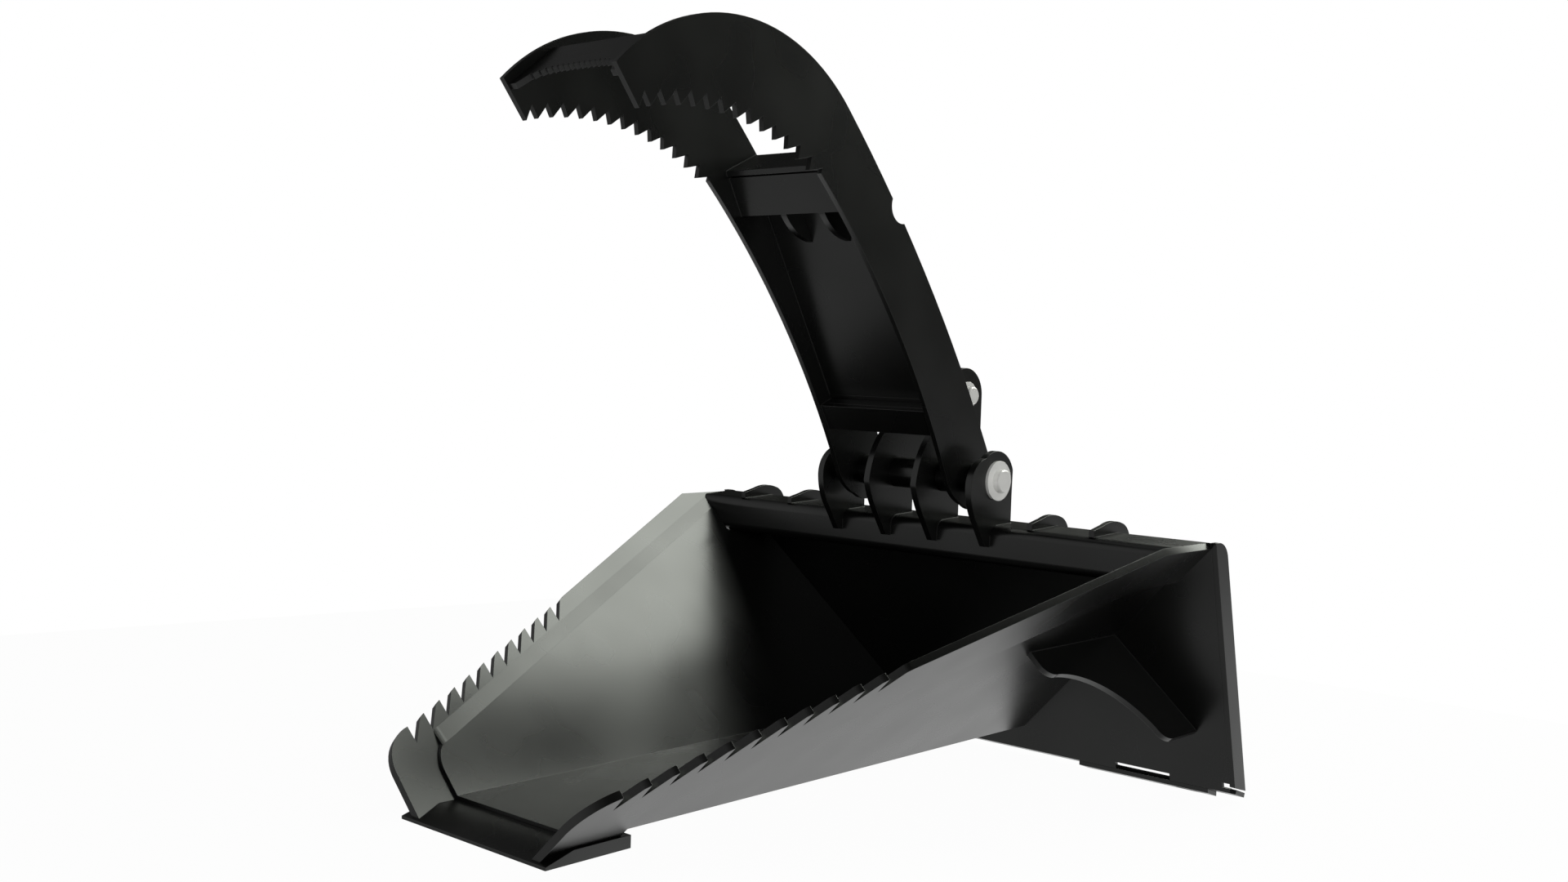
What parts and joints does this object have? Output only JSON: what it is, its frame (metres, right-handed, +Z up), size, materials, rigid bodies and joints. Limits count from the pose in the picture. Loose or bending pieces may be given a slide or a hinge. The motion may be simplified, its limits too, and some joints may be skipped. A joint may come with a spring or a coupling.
{
  "type": "stump grapple",
  "caption": "V-shaped stump bucket for a skid-steer loader with sawtooth side plates and a curved, toothed upper jaw closed by a hydraulic cylinder.",
  "frame": {"origin": "centre of the footprint on the ground, under the middle of the bounding box", "axes": "+Z up, +X across the tool to the operator's right when looking from the cutting edge back at the loader plate, -Y towards the cutting edge, +Y towards the loader plate"},
  "size_m": [1.12, 1.2096, 1.2005],
  "materials": {
    "black_paint": "satin black paint over welded steel plate",
    "pin_steel": "bright turned steel",
    "machined_steel": "machined steel",
    "rod_chrome": "hard chrome, polished",
    "bush_bronze": "greased bronze"
  },
  "bodies": {
    "bucket": {"bucket_shell": "black_paint", "side_plate_right": "black_paint", "side_plate_left": "black_paint", "cutting_edge": "black_paint", "crossbar": "black_paint", "attach_plate": "black_paint", "attach_end_plate_right": "black_paint", "attach_end_plate_left": "black_paint", "lock_pads": "black_paint", "top_ribs": "black_paint", "gusset_right": "black_paint", "gusset_left": "black_paint", "hinge_lug_outer_right": "black_paint", "hinge_lug_outer_left": "black_paint", "hinge_lug_inner_right": "black_paint", "hinge_lug_inner_left": "black_paint", "jaw_pin": "pin_steel", "jaw_pin_collars": "pin_steel", "base_pin": "pin_steel", "base_pin_collars": "pin_steel", "lug_spacer": "black_paint"},
    "jaw": {"jaw_side_right": "black_paint", "jaw_side_left": "black_paint", "jaw_tip_plate": "black_paint", "jaw_upper_cross_plate": "black_paint", "jaw_lower_cross_plate": "black_paint", "jaw_upper_closing_plate": "black_paint", "jaw_web_plate": "black_paint", "jaw_shelf_plate": "black_paint", "rod_lug_right": "black_paint", "rod_lug_left": "black_paint", "jaw_hubs": "black_paint", "jaw_bushes": "bush_bronze"},
    "barrel": {"cylinder_barrel": "black_paint", "cylinder_ports": "black_paint", "cylinder_base_eye": "black_paint", "cylinder_gland": "machined_steel"},
    "rod": {"piston": "machined_steel", "cylinder_rod": "rod_chrome", "rod_eye": "black_paint", "rod_pin": "pin_steel", "rod_pin_collars": "pin_steel"}
  },
  "joints": [
    {"name": "jaw_close", "type": "hinge", "parent": "bucket", "child": "jaw", "pos_m": [0, 0.36634, 0.52109], "axis": [1, 0, 0], "range_deg": [0, 55]},
    {"name": "barrel_swing", "type": "hinge", "parent": "bucket", "child": "barrel", "pos_m": [0, 0.41882, 0.66818], "axis": [1, 0, 0], "range_deg": [0, 55]},
    {"name": "rod_slide", "type": "slide", "parent": "barrel", "child": "rod", "axis": [0, -0.7058, 0.7084], "range_m": [0, 0.1462]}
  ],
  "couplings": [
    {"joint": "barrel_swing", "follows": "jaw_close", "ratio": 0.99},
    {"joint": "rod_slide", "follows": "jaw_close", "m_per_rad": 0.1513}
  ]
}
